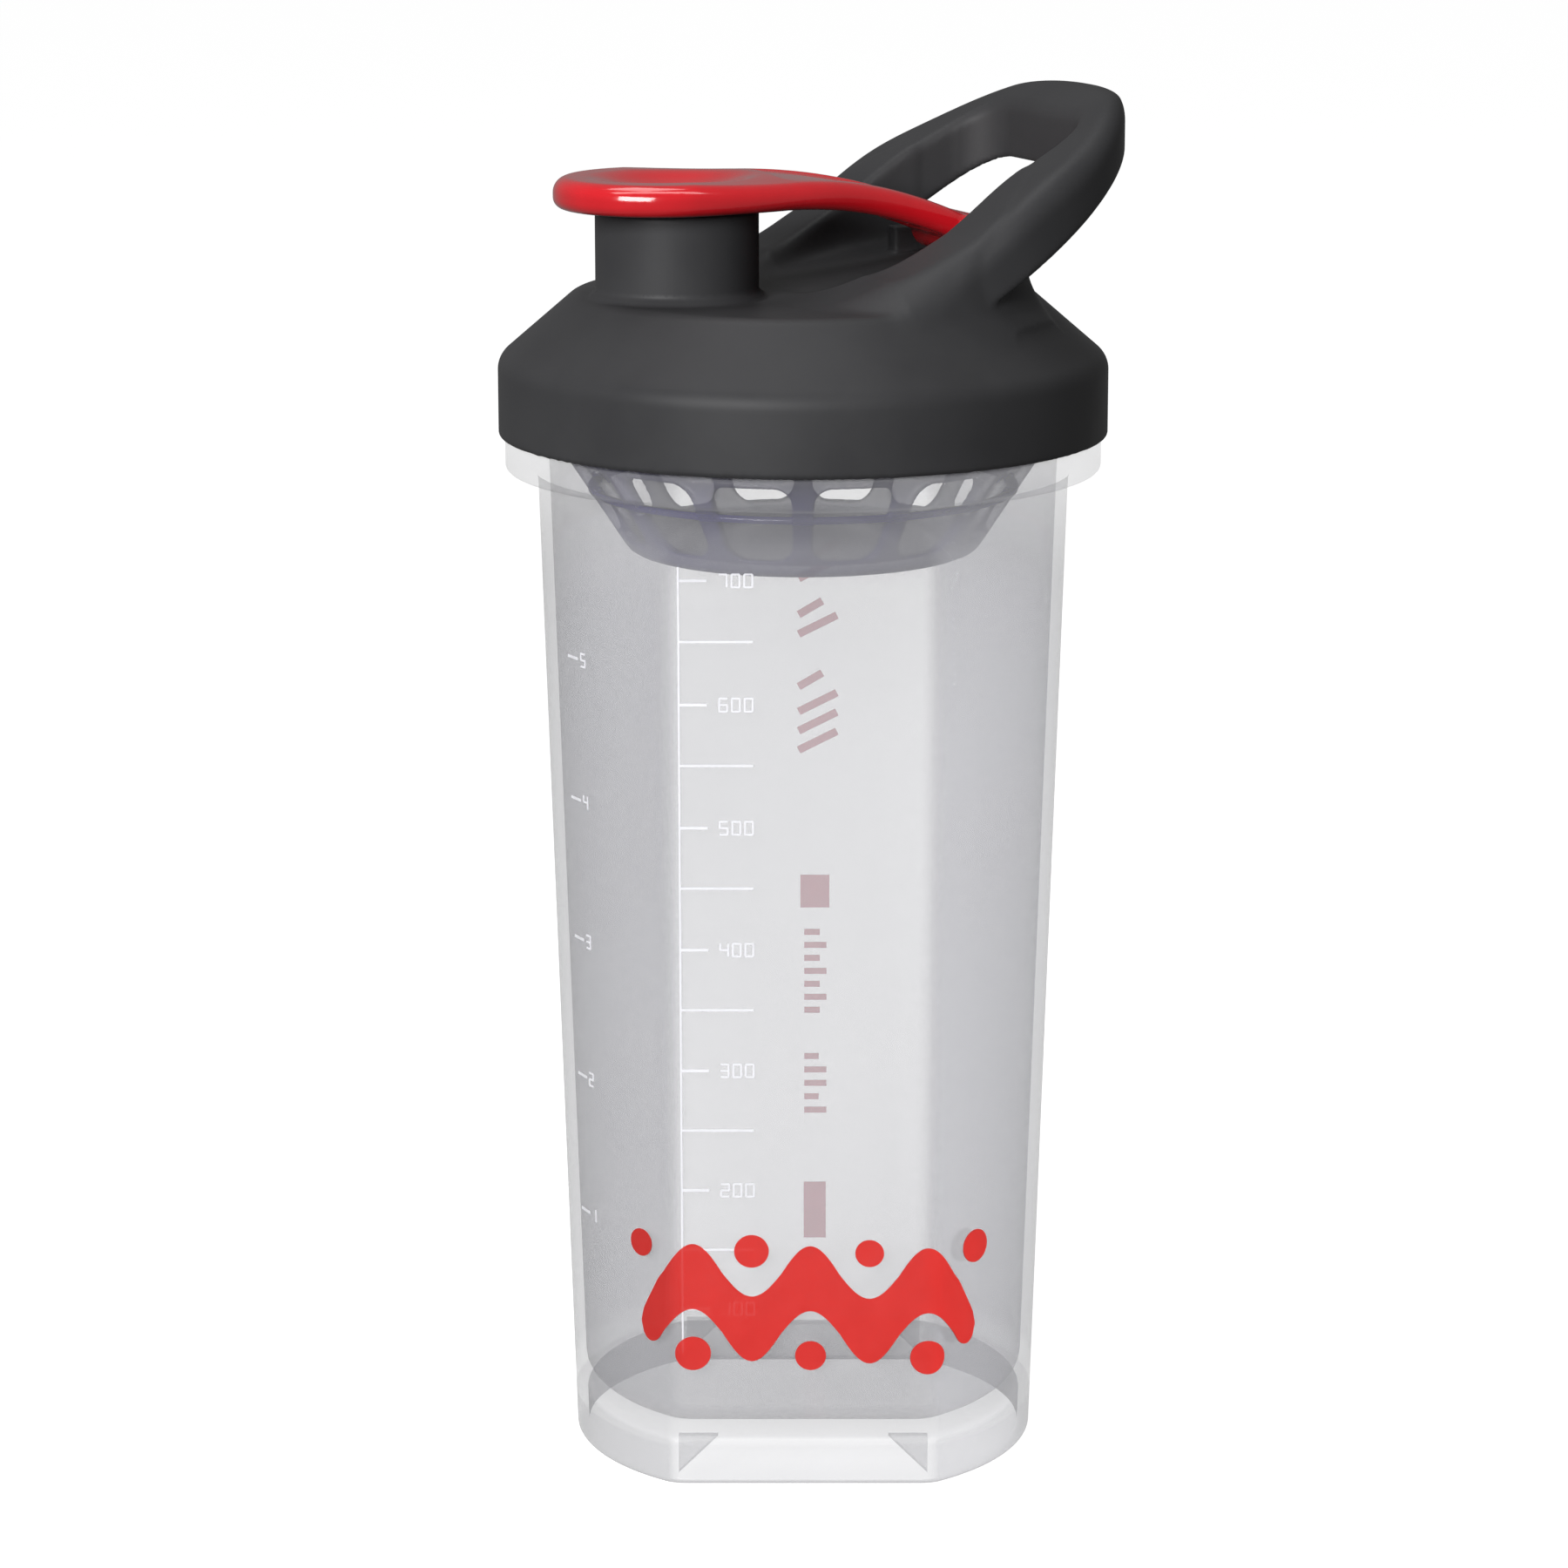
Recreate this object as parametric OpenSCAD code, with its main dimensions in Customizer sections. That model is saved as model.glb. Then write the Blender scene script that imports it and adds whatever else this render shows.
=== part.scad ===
// Protein shaker bottle: clear bottle with two flats, screw lid with a pouring
// spout and a carry loop, flip cap on a hinge pin, and a hanging mixer basket.
// Millimetres, +Z up. The origin is the centre of the bottle's foot.
// The carry loop points towards +X and the spout towards -X.

/* [Bottle] */
// Outer radius of the bottle at the foot
foot_radius = 39.7; // [38:0.1:42]
// Growth of the bottle's radius for each millimetre of height
body_flare = 0.0302; // [0.02:0.001:0.035]
// Distance from the axis to each flat at the foot
flat_distance = 32.9; // [31:0.1:34]
// Lean of each flat from the vertical, in degrees
flat_lean = 2.04; // [1.5:0.01:2.3]
// Thickness of the bottle wall
wall = 2.0; // [1.6:0.1:2.6]
// Direction the front flat faces, in degrees round from -Y
flat_turn = -24; // [-90:1:90]
// Height of the underside of the inner floor
floor_z = 8.0; // [6:0.5:10]
// Thickness of the inner floor
floor_thickness = 2.0; // [1.6:0.1:2.6]

/* [Neck] */
// Outer radius of the flange under the lid
flange_radius = 50.3; // [49.8:0.1:50.6]
// Outer radius of the neck
neck_radius = 46.2; // [46:0.1:46.4]
// Height of the neck's rim
neck_rim_z = 188.5; // [188:0.1:188.6]

/* [Lid] */
// Outer radius of the lid's skirt
lid_radius = 51.4; // [51.2:0.1:52]
// Outer radius of the spout
spout_radius = 13.6; // [13:0.1:14.2]
// Distance from the lid's axis to the spout's axis
spout_offset = 22.9; // [22:0.1:23.4]
// Slope of the carry loop, in degrees
loop_slope = 33; // [31:0.5:34]
// Radius of the carry loop's outline, seen from above
loop_outline = 37; // [36.6:0.1:37.2]
// Width of the carry loop's band at its far end
loop_band = 10.5; // [10.2:0.1:10.7]

/* [Thread] */
// Rise of the screw thread in one turn
thread_lead = 6.0; // [6:0.1:6.2]

/* [Flip cap] */
// Radius of the cap's head
head_radius = 17.6; // [16.5:0.1:18]
// Radius of the hinge pin
pin_radius = 1.5; // [1.2:0.1:1.7]

/* [Mixer basket] */
// Number of windows round the basket
window_count = 14; // [10:1:16]
// Width of the bars between windows, in degrees
bar_angle = 5.5; // [4:0.5:7]

/* [Hidden] */
$fn = 96;
eps = 0.01;
big = 140;

// Bottle
flange_bottom = 170.5;
flange_top = 175.9;
foot_bevel = 1.0;
shoulder_z = 160.5;
shoulder_rise = 16;
neck_bore = neck_radius - 3.3;
gusset_thickness = 1.6;
gusset_edge = 21.4;
gusset_foot = 14.5;
gusset_low = 1.4;

// Thread
thread_root = 2.0;
thread_crest = 1.0;
thread_start_z = 180;
ridges_per_turn = 6;
ridge_angle = 40;
bottle_ridges = 8;
lid_ridges = 6;
bottle_crest = neck_radius + 2.1;
lid_crest = neck_radius + 0.6;
thread_sink = 0.7;

// Lid
skirt_bottom = 176.2;
skirt_top = 187.2;
skirt_inner = lid_radius - 2.4;
skirt_ceiling = 188.9;
dome_top = 200;
dome_ceiling = 197.8;
dome_inner = 40.4;
spout_top = 215;
spout_bore = spout_radius - 2;
spout_bead = 0.8;
bead_height = 3.1;

// Carry loop
loop_reach = 54.8;
loop_root = -9;
loop_level = 200.5;
root_top = 201;
band_depth = 10.4;
loop_top = 233.5;
apex_bevel = 4.6;
hole_start = 31.2;
hole_half = 19.3;
hole_reach = loop_reach - loop_band;
deck_level = 200.6;
deck_slope = 7.5;
neck_low_z = 196;
neck_high_z = 204;
neck_low_radius = 43.4;
neck_high_radius = 38.4;

// Hinge
hinge_x = 28;
hinge_z = 208.7;
knuckle_radius = 3.6;
knuckle_half = 9.8;
lug_inner = 10.1;
lug_outer = 13.3;
lug_foot = 8;
lug_brace = 9;
pin_clearance = 0.05;

// Flip cap
cap_underside = 215.2;
cap_thickness = 5.2;
cap_bend_radius = 89;
cap_bend_x = -10;
head_x = -26;
arm_half = 9.6;
waist_x = 6;
waist_half = 11.2;
neck_half = 13.9;
dish_radius = 13.2;
dish_depth = 1.6;

// Spout plug
plug_height = 4.2;
plug_taper = 0.9;
plug_play = 0.3;
plug_rim = 2.7;
plug_ceiling = 1.4;

// Mixer basket
basket_floor_z = 156.2;
basket_floor_radius = 27.4;
basket_wall = 1.6;
cone_low_z = 158.2;
cone_low_radius = 31.1;
cone_high_z = 174.6;
cone_high_radius = 41.4;
collar_radius = 42.2;
basket_flange_radius = 45.6;
basket_flange = 1.2;
window_reach = 20;
window_low = 159.4;
window_high = 172.6;
hoop_z = 165.3;
hoop_height = 1.1;
hoop_reach = 0.7;

// Gasket
gasket_inner = 41.4;
gasket_outer = 45.4;
gasket_height = 1.9;
basket_flange_z = neck_rim_z + 0.05;
gasket_z = basket_flange_z + basket_flange + 0.05;
gasket_seat = gasket_z + gasket_height + 0.05;

// The bottle's outer shape, moved inwards by inset: a flaring round body with
// two leaning flats that end in a shoulder below the flange.
module body_form(low, high, inset) {
  difference() {
    translate([0, 0, low])
      cylinder(
        h = high - low,
        r1 = foot_radius + body_flare * low - inset,
        r2 = foot_radius + body_flare * high - inset
      );
    flat_cut(inset);
    mirror([0, 1, 0])
      flat_cut(inset);
  }
}

// What the front flat and its shoulder cut away from the round body.
module flat_cut(inset) {
  low = -10;
  shoulder = shoulder_z + 0.414 * inset;
  top_distance = flat_distance + shoulder_z * tan(flat_lean) - inset;
  rotate([90, 0, 90])
    translate([0, 0, -big / 2])
      linear_extrude(big)
        polygon([
          [-(flat_distance + low * tan(flat_lean) - inset), low],
          [-top_distance, shoulder],
          [-top_distance - shoulder_rise, shoulder + shoulder_rise],
          [-big / 2, shoulder + shoulder_rise],
          [-big / 2, low]
        ]);
}

// An interrupted screw thread: short ridges that climb by one lead in a turn.
// Each ridge is sunk into the wall it stands on.
module thread(root_r, crest_r, start_z, count) {
  step = 360 / ridges_per_turn;
  sink_r = root_r + (crest_r > root_r ? -thread_sink : thread_sink);
  for (i = [0:count - 1])
    translate([0, 0, start_z + i * thread_lead / ridges_per_turn])
      rotate([0, 0, i * step])
        rotate_extrude(angle = ridge_angle)
          polygon([
            [sink_r, -thread_root / 2],
            [crest_r, -thread_crest / 2],
            [crest_r, thread_crest / 2],
            [sink_r, thread_root / 2]
          ]);
}

// One flat triangular gusset under the inner floor.
module gusset(side, front) {
  plate = front * (flat_distance - wall - gusset_thickness / 2 + 0.3);
  translate([0, plate + gusset_thickness / 2, 0])
    rotate([90, 0, 0])
      linear_extrude(gusset_thickness)
        polygon([
          [side * gusset_edge, gusset_low],
          [side * gusset_edge, floor_z + 0.3],
          [side * gusset_foot, floor_z + 0.3]
        ]);
}

module bottle_body() {
  color([0.86, 0.87, 0.9])
    rotate([0, 0, flat_turn]) {
      difference() {
        union() {
          body_form(foot_bevel, flange_bottom + 1, 0);
          intersection() {
            body_form(0, foot_bevel + eps, 0);
            cylinder(h = 2 * foot_bevel, r1 = foot_radius - foot_bevel, r2 = foot_radius + foot_bevel);
          }
          translate([0, 0, flange_bottom])
            cylinder(h = flange_top - flange_bottom, r = flange_radius);
          translate([0, 0, flange_bottom])
            cylinder(h = neck_rim_z - flange_bottom, r = neck_radius);
        }
        body_form(floor_z + floor_thickness, flange_bottom - 1, wall);
        body_form(-1, floor_z, wall);
        translate([0, 0, flange_bottom - 1 - eps])
          cylinder(h = big, r = neck_bore);
      }
      for (side = [-1, 1])
        for (front = [-1, 1])
          gusset(side, front);
      thread(neck_radius, bottle_crest, thread_start_z, bottle_ridges);
    }
}

module mixer_basket() {
  pitch = 360 / window_count;
  color([0.45, 0.43, 0.55, 0.6]) {
    difference() {
      rotate_extrude()
        polygon([
          [0, basket_floor_z],
          [basket_floor_radius, basket_floor_z],
          [cone_low_radius - 1, cone_low_z - 1.4],
          [cone_low_radius, cone_low_z],
          [cone_high_radius, cone_high_z],
          [collar_radius, cone_high_z + 1.5],
          [collar_radius, basket_flange_z],
          [basket_flange_radius, basket_flange_z],
          [basket_flange_radius, basket_flange_z + basket_flange],
          [collar_radius - basket_wall, basket_flange_z + basket_flange],
          [collar_radius - basket_wall, cone_high_z + 1.5],
          [cone_high_radius - basket_wall, cone_high_z],
          [cone_low_radius - basket_wall - 1, cone_low_z],
          [cone_low_radius - basket_wall - 1.6, basket_floor_z + basket_wall],
          [0, basket_floor_z + basket_wall]
        ]);
      for (i = [0:window_count - 1])
        rotate([0, 0, flat_turn - 90 + bar_angle / 2 + i * pitch])
          rotate_extrude(angle = pitch - bar_angle)
            translate([window_reach, window_low])
              square([big / 2 - window_reach, window_high - window_low]);
    }
    difference() {
      translate([0, 0, hoop_z])
        cylinder(
          h = hoop_height,
          r1 = hoop_radius(hoop_z) + hoop_reach,
          r2 = hoop_radius(hoop_z + hoop_height) + hoop_reach
        );
      translate([0, 0, hoop_z - eps])
        cylinder(
          h = hoop_height + 2 * eps,
          r1 = hoop_radius(hoop_z) - 0.4,
          r2 = hoop_radius(hoop_z + hoop_height) - 0.4
        );
    }
  }
}

// Outer radius of the basket's cone at a height.
function hoop_radius(z) =
  cone_low_radius
  + (cone_high_radius - cone_low_radius) * (z - cone_low_z) / (cone_high_z - cone_low_z);

module lid_gasket() {
  color([0.8, 0.8, 0.82])
    translate([0, 0, gasket_z])
      difference() {
        cylinder(h = gasket_height, r = gasket_outer);
        translate([0, 0, -1])
          cylinder(h = gasket_height + 2, r = gasket_inner);
      }
}

// A flat outline from x0 to x1 with rounded corners.
module rounded_plan(x0, x1, half, r0, r1) {
  union() {
    translate([x0, -half + r0])
      square([r0 + eps, 2 * (half - r0)]);
    translate([x0 + r0, -half])
      square([x1 - x0 - r0 - r1, 2 * half]);
    translate([x1 - r1 - eps, -half + r1])
      square([r1 + eps, 2 * (half - r1)]);
    for (s = [-1, 1]) {
      translate([x0 + r0, s * (half - r0)])
        circle(r = r0);
      translate([x1 - r1, s * (half - r1)])
        circle(r = r1);
    }
  }
}

// Everything below the loop's sloping top, lowered by drop.
module below_slope(drop) {
  translate([0, 0, loop_level - drop])
    rotate([0, -loop_slope, 0])
      translate([-big, -big / 2, -big])
        cube([2 * big, big, big]);
}

// The loop's outer outline, seen from above.
module loop_plan() {
  translate([loop_reach - loop_outline, 0])
    circle(r = loop_outline);
}

module loop_hole_plan() {
  rounded_plan(loop_root + 2, hole_reach, hole_half, 17, 6);
}

// The sloping carry loop, an even band with a bevelled far edge.
module carry_loop() {
  difference() {
    intersection() {
      translate([0, 0, dome_ceiling + 0.4])
        linear_extrude(50)
          difference() {
            loop_plan();
            loop_hole_plan();
          }
      below_slope(0);
    }
    below_slope(band_depth);
    translate([loop_reach - apex_bevel, -big / 2, loop_top])
      rotate([0, 45, 0])
        cube([big, big, 30]);
    translate([0, -big / 2, loop_top])
      cube([big, big, 30]);
  }
}

// The raised root that joins the loop to the dome, with the sloping deck.
module loop_root_block() {
  difference() {
    intersection() {
      translate([0, 0, dome_ceiling])
        linear_extrude(40)
          intersection() {
            loop_plan();
            translate([loop_root - 1, -big / 2])
              square([hole_start - loop_root + 1, big]);
          }
      union() {
        below_slope(0);
        translate([-big / 2, -big / 2, 100])
          cube([big, big, root_top - 100]);
      }
      union() {
        translate([0, 0, neck_low_z])
          cylinder(h = neck_high_z - neck_low_z, r1 = neck_low_radius, r2 = neck_high_radius);
        translate([0, 0, neck_high_z - eps])
          cylinder(h = 40, r = neck_high_radius);
      }
    }
    // The deck between the arms
    intersection() {
      translate([0, 0, dome_ceiling])
        linear_extrude(60)
          loop_hole_plan();
      translate([0, 0, deck_level])
        rotate([0, -deck_slope, 0])
          translate([-big, -big / 2, 0])
            cube([2 * big, big, 60]);
    }
  }
}

// Outline of the lid's round shell, from the axis outwards.
module lid_profile() {
  difference() {
    union() {
      translate([0, skirt_bottom])
        square([lid_radius, skirt_top - skirt_bottom]);
      polygon([
        [0, skirt_top - 0.1], [lid_radius, skirt_top - 0.1],
        [lid_radius - 0.4, 188.8], [lid_radius - 1.2, 190.3],
        [lid_radius - 2.4, 191.8], [lid_radius - 4.1, 193], [lid_radius - 6.4, 194.4],
        [lid_radius - 8.8, 196.3], [40.6, 198.3], [37.6, 199.6], [35.5, dome_top], [0, dome_top]
      ]);
    }
    square([skirt_inner, skirt_ceiling]);
    square([gasket_outer + 0.7, gasket_seat]);
    square([dome_inner, 194]);
    polygon([[0, 193.9], [dome_inner, 193.9], [37, dome_ceiling], [0, dome_ceiling]]);
  }
}

// One lug that holds the hinge pin, rising from the deck.
module hinge_lug(y0, y1) {
  translate([0, y1, 0])
    rotate([90, 0, 0])
      linear_extrude(y1 - y0) {
        translate([hinge_x, hinge_z])
          circle(r = knuckle_radius - 0.2);
        polygon([
          [hinge_x - knuckle_radius + 0.2, hinge_z],
          [hinge_x + knuckle_radius - 0.2, hinge_z],
          [hinge_x + knuckle_radius - 0.4, hinge_z - lug_foot],
          [hinge_x - lug_brace, hinge_z - lug_foot]
        ]);
      }
}

module lid_shell() {
  color([0.16, 0.16, 0.17])
    difference() {
      union() {
        rotate_extrude()
          lid_profile();
        loop_root_block();
        carry_loop();
        translate([-spout_offset, 0, dome_ceiling])
          cylinder(h = spout_top - dome_ceiling, r = spout_radius);
        translate([-spout_offset, 0, dome_ceiling])
          cylinder(h = bead_height, r = spout_radius + spout_bead);
        hinge_lug(-lug_outer, -lug_inner);
        hinge_lug(lug_inner, lug_outer);
        thread(skirt_inner, lid_crest, thread_start_z - thread_lead / 2 + 1, lid_ridges);
      }
      translate([-spout_offset, 0, dome_ceiling - 1])
        cylinder(h = big, r = spout_bore);
      translate([hinge_x, -big / 2, hinge_z])
        rotate([-90, 0, 0])
          cylinder(h = big, r = pin_radius);
    }
}

module hinge_pin() {
  color([0.7, 0.7, 0.72])
    translate([hinge_x, -lug_outer, hinge_z])
      rotate([-90, 0, 0])
        cylinder(h = 2 * lug_outer, r = pin_radius);
}

// The flat head of the flip cap, with the start of its arm.
module cap_head() {
  difference() {
    union() {
      translate([head_x, 0, cap_underside])
        cylinder(h = cap_thickness, r = head_radius);
      translate([0, 0, cap_underside])
        linear_extrude(cap_thickness)
          polygon([
            [head_x, neck_half + 2], [cap_bend_x, neck_half],
            [cap_bend_x, -neck_half], [head_x, -neck_half - 2]
          ]);
    }
    translate([head_x, 0, cap_underside + cap_thickness - dish_depth])
      cylinder(h = 5, r1 = dish_radius - 1, r2 = dish_radius + 2);
  }
}

// The arm of the flip cap: a band that bends down from the head to the hinge.
module cap_arm() {
  bend_z = cap_underside + cap_thickness - cap_bend_radius;
  intersection() {
    translate([cap_bend_x, 20, bend_z])
      rotate([90, 0, 0])
        difference() {
          cylinder(h = 40, r = cap_bend_radius, $fn = 360);
          translate([0, 0, -1])
            cylinder(h = 42, r = cap_bend_radius - cap_thickness, $fn = 360);
        }
    translate([0, 0, 195])
      linear_extrude(40)
        polygon([
          [cap_bend_x, neck_half], [waist_x, waist_half], [hinge_x, arm_half],
          [hinge_x, -arm_half], [waist_x, -waist_half], [cap_bend_x, -neck_half]
        ]);
  }
}

module flip_cap() {
  color([0.72, 0.05, 0.07])
    difference() {
      union() {
        cap_head();
        cap_arm();
        translate([hinge_x, -knuckle_half, hinge_z])
          rotate([-90, 0, 0])
            cylinder(h = 2 * knuckle_half, r = knuckle_radius);
      }
      translate([hinge_x, -big / 2, hinge_z])
        rotate([-90, 0, 0])
          cylinder(h = big, r = pin_radius + pin_clearance);
    }
}

module spout_plug() {
  plug_top = cap_underside - 0.02;
  plug_r = spout_bore - plug_play;
  color([0.2, 0.2, 0.21])
    translate([-spout_offset, 0, 0])
      difference() {
        translate([0, 0, plug_top - plug_height])
          cylinder(h = plug_height, r1 = plug_r - plug_taper, r2 = plug_r);
        translate([0, 0, plug_top - plug_height - 1])
          cylinder(h = plug_height - plug_ceiling + 1, r = plug_r - plug_rim);
      }
}

bottle_body();
mixer_basket();
lid_gasket();
lid_shell();
hinge_pin();
flip_cap();
spout_plug();
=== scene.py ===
import math

import bmesh
import bpy
import numpy as np
import openvdb
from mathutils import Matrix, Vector


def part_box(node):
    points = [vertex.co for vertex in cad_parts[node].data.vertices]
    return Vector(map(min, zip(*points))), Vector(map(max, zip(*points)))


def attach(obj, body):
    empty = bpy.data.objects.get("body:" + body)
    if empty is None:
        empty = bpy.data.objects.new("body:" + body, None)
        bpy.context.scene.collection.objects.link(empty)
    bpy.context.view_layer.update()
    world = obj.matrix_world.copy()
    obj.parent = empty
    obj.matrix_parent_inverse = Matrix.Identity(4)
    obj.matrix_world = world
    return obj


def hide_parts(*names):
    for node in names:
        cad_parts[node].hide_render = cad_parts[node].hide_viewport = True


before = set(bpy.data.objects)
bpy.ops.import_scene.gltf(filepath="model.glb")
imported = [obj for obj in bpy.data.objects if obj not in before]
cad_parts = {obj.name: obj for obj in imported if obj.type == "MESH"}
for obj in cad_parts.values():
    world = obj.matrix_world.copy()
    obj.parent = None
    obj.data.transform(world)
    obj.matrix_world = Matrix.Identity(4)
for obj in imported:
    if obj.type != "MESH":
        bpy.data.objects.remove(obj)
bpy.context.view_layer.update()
MM = 0.001


# ---------------------------------------------------------------- sizes, in mm
def box_mm(node):
    """Lowest and highest corner of a CAD node, in millimetres."""
    low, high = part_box(node)
    return np.array(low) / MM, np.array(high) / MM


LID_LOW, LID_HIGH = box_mm("lid_shell")
BODY_HIGH = box_mm("bottle_body")[1]
CAP_LOW, CAP_HIGH = box_mm("flip_cap")
BASKET_LOW, BASKET_HIGH = box_mm("mixer_basket")
PLUG_LOW, PLUG_HIGH = box_mm("spout_plug")
PIN_LOW, PIN_HIGH = box_mm("hinge_pin")

FLAT_TURN = math.radians(-24)

# Light: what the surround gives to matt and to glossy surfaces, where lamps aim (in metres)
# and how far the camera looks down (in degrees)
AMBIENT = 0.06
MIRRORED = 0.16
LAMP_TARGET_Z = 0.13
CAMERA_TILT = 12.85

# Bottle
FOOT_RADIUS = 39.7
BODY_FLARE = 0.0302
FLAT_DISTANCE = 32.9
FLAT_SLOPE = math.tan(math.radians(2.04))
FLAT_BEVEL = 1.3
SHOULDER_Z = 156.0
WALL = 2.0
FLOOR_Z = 8.0
FLOOR_TOP = 10.0
THREAD_LEAD = 6.0
FLANGE_BOTTOM = 170.5
FLANGE_TOP = 175.9
FLANGE_RADIUS = BODY_HIGH[0]
NECK_RADIUS = 46.2
NECK_BORE = NECK_RADIUS - 3.3
RIM_Z = BODY_HIGH[2]
THREAD_ROOT = 0.6
THREAD_CREST = 1.25
NECK_THREAD_Z = 180.0
GUSSET_LOW = 1.6
GUSSET_EDGE = 21.2
GUSSET_FOOT = 14.5
GUSSET_THICK = 1.5

# Lid
LID_RADIUS = -LID_LOW[0]
SKIRT_BOTTOM = LID_LOW[2]
SKIRT_INNER = LID_RADIUS - 2.4
DOME_TOP = 200.0
DOME_CEILING = 197.8
SPOUT_X = (PLUG_LOW[0] + PLUG_HIGH[0]) / 2
SPOUT_RADIUS = 13.6
SPOUT_BORE = SPOUT_RADIUS - 2
SPOUT_TOP = 215.0
SPOUT_FOOT = 198.5
BEAD_Z = 200.3
SKIRT_TOP = 187.2
LID_THREAD_Z = 179.4
DOME_RADIUS = 36.8

# Carry loop
LOOP_REACH = LID_HIGH[0]
LOOP_TOP = LID_HIGH[2]
LOOP_SLOPE = math.tan(math.radians(33))
LOOP_LEVEL = 200.5
LOOP_CENTRE = 17.5
LOOP_HALF = 36.8
HOLE_REACH = LOOP_REACH - 10.5
HOLE_HALF = 19.6
ROOT_END = 31.0
ROOT_LEVEL = 197.6
BAND_DEPTH = 10.2
LOOP_FOOT = 198.0
DECK_LEVEL = 200.9
DECK_SLOPE = 0.125
OVAL_POWER = 2.2

# Flip cap
HINGE_X = (PIN_LOW[0] + PIN_HIGH[0]) / 2
HINGE_Z = (PIN_LOW[2] + PIN_HIGH[2]) / 2
PIN_RADIUS = (PIN_HIGH[2] - PIN_LOW[2]) / 2
KNUCKLE_RADIUS = 3.6
KNUCKLE_HALF = 9.8
LUG_Y = 11.7
LUG_HALF = 1.6
HEAD_RADIUS = CAP_HIGH[1]
HEAD_X = CAP_LOW[0] + HEAD_RADIUS
CAP_UNDER = 215.2
CAP_THICK = 5.2
CAP_TOP = CAP_UNDER + CAP_THICK
ARM_HALF = 9.5
BEND_RADIUS = 89.0
BEND_X = -10.0
DISH_RADIUS = 28.4
DISH_RISE = 26.0

# Mixer basket
WINDOWS = 14
BAR_ANGLE = math.radians(5.5)
CONE_LOW = (31.1, 158.2)
CONE_HIGH = (41.4, 174.6)
WINDOW_LOW = 159.4
WINDOW_HIGH = 172.8
WINDOW_CORNER = 3.0
HOOP_Z = 167.0
COLLAR_Z = 176.1
COLLAR_RADIUS = 42.2
COLLAR_BORE = 40.6
LIP_RADIUS = 45.6
LIP_Z = 188.6
BASKET_TOP = 189.7
BASKET_FLOOR = BASKET_LOW[2]
BASKET_FLOOR_TOP = BASKET_FLOOR + 1.7


# ---------------------------------------------------------------- mesh helpers
def new_piece(name, points_mm, faces, body, material, smooth=True):
    """A mesh object from points in millimetres, riding on a CAD body."""
    mesh = bpy.data.meshes.new(name)
    mesh.from_pydata((np.asarray(points_mm) * MM).tolist(), [], [list(f) for f in faces])
    mesh.validate()
    mesh.update()
    mesh.polygons.foreach_set("use_smooth", [smooth] * len(mesh.polygons))
    piece = bpy.data.objects.new(name, mesh)
    bpy.context.scene.collection.objects.link(piece)
    mesh.materials.append(material)
    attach(piece, body)
    return piece


def field_points(field, low, high, step):
    """Points and quads of the surface where field(x, y, z) is zero."""
    low = np.asarray(low, float) - 2 * step
    high = np.asarray(high, float) + 2 * step
    counts = np.ceil((high - low) / step).astype(int) + 1
    axes = [low[i] + step * np.arange(counts[i]) for i in range(3)]
    x, y, z = np.meshgrid(*[a.astype(np.float32) for a in axes], indexing="ij")
    values = field(x, y, z).astype(np.float32)
    grid = openvdb.FloatGrid(3 * step)
    grid.copyFromArray(np.clip(values, -3 * step, 3 * step))
    points, _, quads = grid.convertToPolygons(0.0, 0.0)
    points = low + points * step
    h = 0.05
    for _ in range(2):
        value = field(*points.T)
        slope = [
            (field(*(points + d).T) - field(*(points - d).T)) / (2 * h) for d in h * np.eye(3)
        ]
        slope = np.stack(slope, axis=1)
        length = np.maximum((slope**2).sum(axis=1), 0.2)
        move = slope * (value / length)[:, None]
        points = points - np.clip(move, -0.6 * step, 0.6 * step)
    a, b, c, d = (points[quads[:, i]] for i in range(4))
    volume = np.einsum("ij,ij->i", a, np.cross(b, c) + np.cross(c, d)).sum()
    return points, quads if volume > 0 else quads[:, ::-1]


def ring_faces(rows, columns):
    """Quads that join rings of points, with a pole at each end."""
    faces = []
    for i in range(rows - 1):
        for j in range(columns):
            k = (j + 1) % columns
            faces.append((i * columns + j, i * columns + k, (i + 1) * columns + k, (i + 1) * columns + j))
    first, last = rows * columns, rows * columns + 1
    top = (rows - 1) * columns
    for j in range(columns):
        k = (j + 1) % columns
        faces.append((k, j, first))
        faces.append((top + j, top + k, last))
    return faces


def smooth_min(a, b, k):
    """The lesser of two fields, rounded where they meet."""
    h = np.clip(0.5 + 0.5 * (b - a) / k, 0, 1)
    return b + (a - b) * h - k * h * (1 - h)


def smooth_max(a, b, k):
    """The greater of two fields, rounded where they meet."""
    return -smooth_min(-a, -b, k)


def round_max(a, b, r):
    """Where both fields are below 0, with an edge of radius r."""
    corner = np.hypot(np.maximum(a + r, 0), np.maximum(b + r, 0)) - r
    return np.minimum(np.maximum(a, b), -r) * (corner <= -r + 1e-6) + corner * (corner > -r + 1e-6)


def polygon_field(u, v, outline):
    """Signed distance from a closed outline, below 0 inside."""
    points = np.asarray(outline, float)
    best = np.full(u.shape, 1e9)
    inside = np.zeros(u.shape, bool)
    for (x0, y0), (x1, y1) in zip(points, np.roll(points, -1, axis=0)):
        ex, ey = x1 - x0, y1 - y0
        wx, wy = u - x0, v - y0
        t = np.clip((wx * ex + wy * ey) / (ex * ex + ey * ey), 0, 1)
        best = np.minimum(best, (wx - ex * t) ** 2 + (wy - ey * t) ** 2)
        if y0 != y1:
            crosses = (y0 > v) != (y1 > v)
            inside ^= crosses & (u < ex * (v - y0) / ey + x0)
    return np.sqrt(best) * np.where(inside, -1, 1)


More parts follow.
